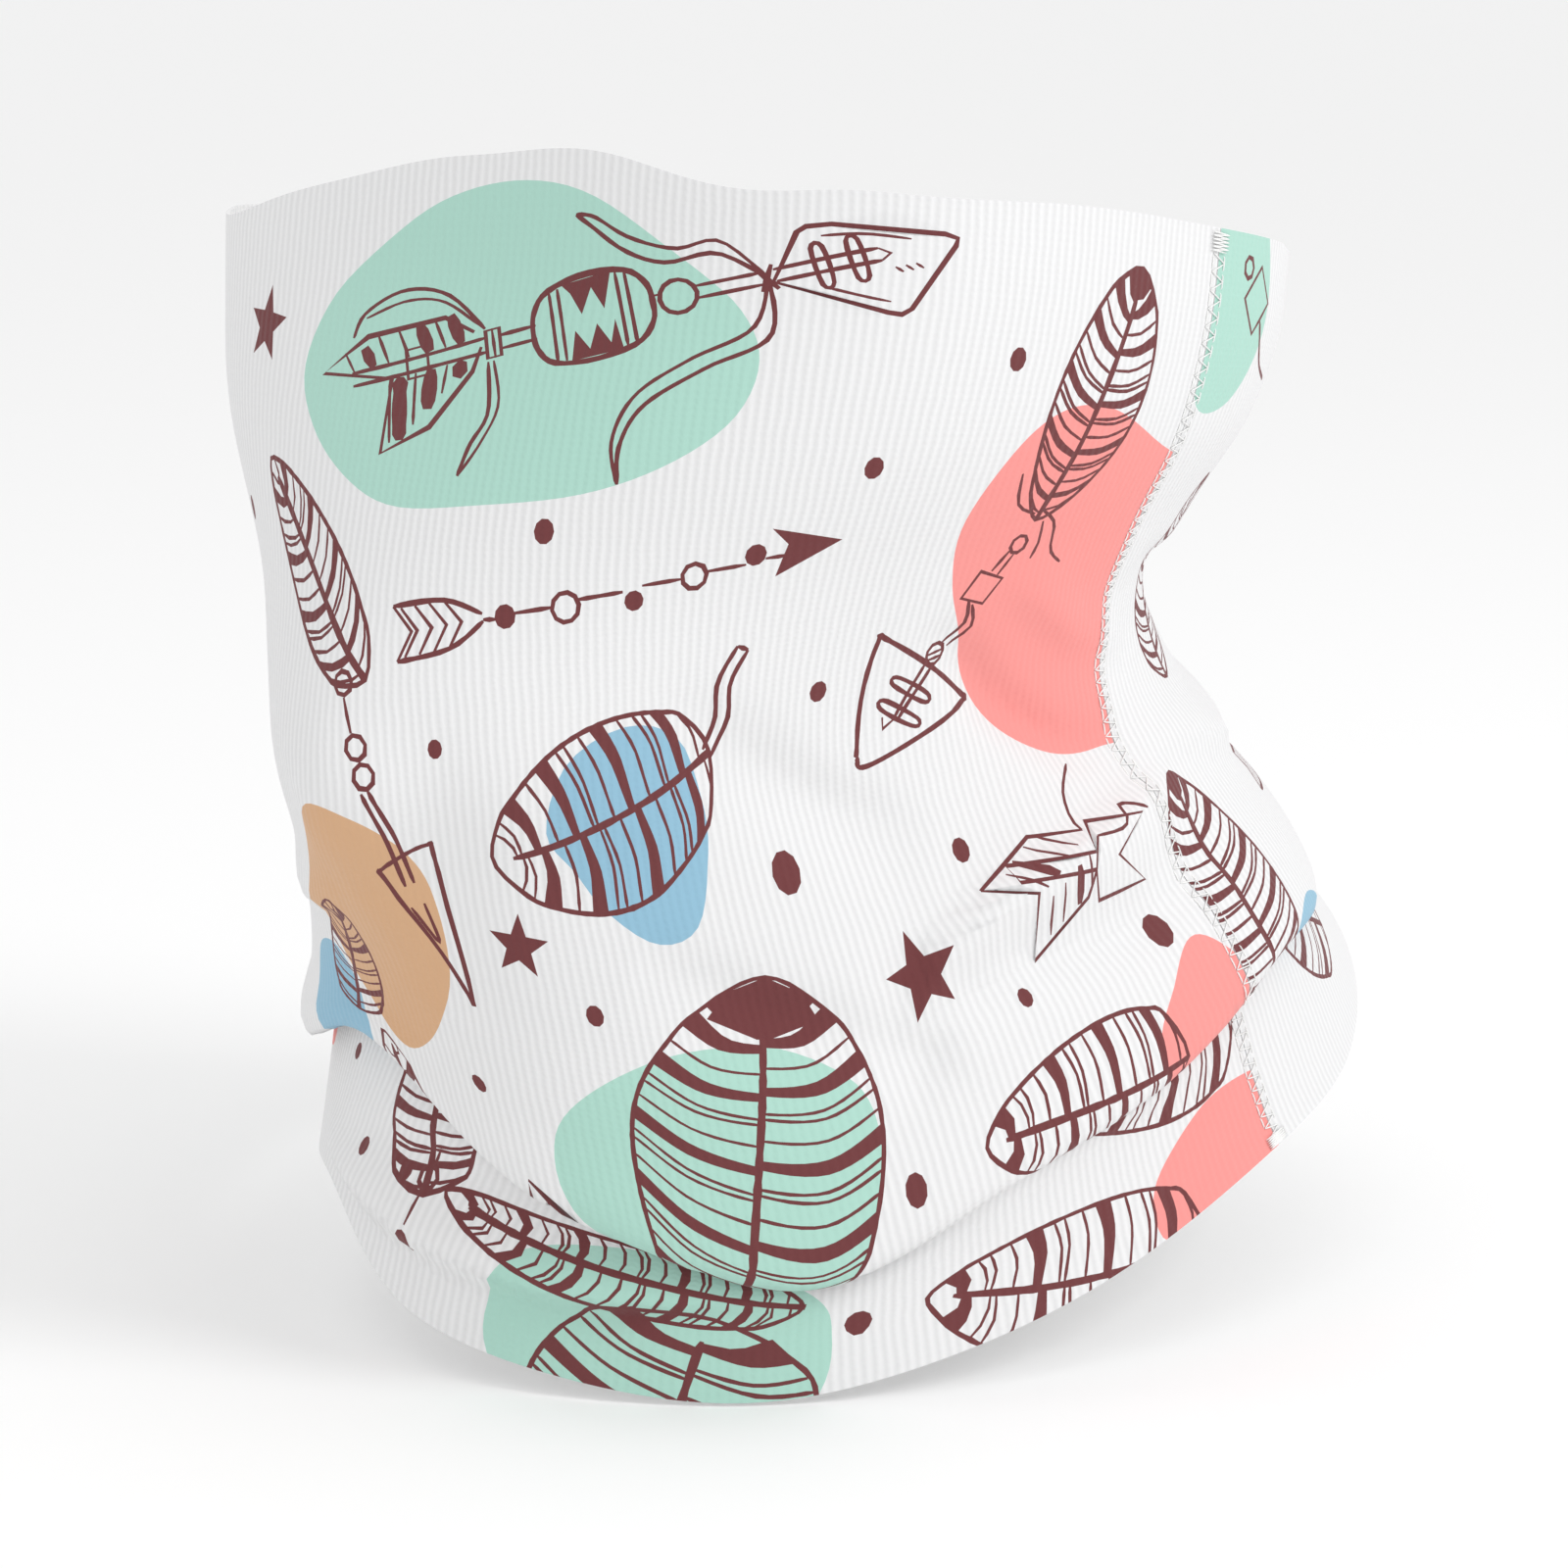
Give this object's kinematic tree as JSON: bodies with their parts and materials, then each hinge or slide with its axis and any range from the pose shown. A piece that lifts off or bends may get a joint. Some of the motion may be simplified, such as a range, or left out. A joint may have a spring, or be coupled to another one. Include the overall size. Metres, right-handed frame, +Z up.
{
  "type": "neck gaiter",
  "caption": "Printed knit tube for the neck and lower face, shaped as worn: face opening at the nose, gathered fold at the neck and a flared hem.",
  "frame": {"origin": "centre of the neck passage, the narrowest section of the tube", "axes": "+Z up through the tube towards the face opening, wearer faces -Y, +X is the wearer's left"},
  "size_m": [0.1704, 0.2317, 0.1857],
  "materials": {
    "printed_knit": "matte fine rib knit polyester, printed in brown ink with mint, pink, blue and peach spots",
    "seam_thread": "white textured polyester sewing thread"
  },
  "bodies": {
    "root": {"knit_tube": "printed_knit", "seam_needle_thread_front": "seam_thread", "seam_needle_thread_rear": "seam_thread", "seam_cover_thread": "seam_thread", "seam_looper_thread": "seam_thread", "top_bar_tack": "seam_thread", "bottom_bar_tack": "seam_thread"}
  },
  "joints": []
}
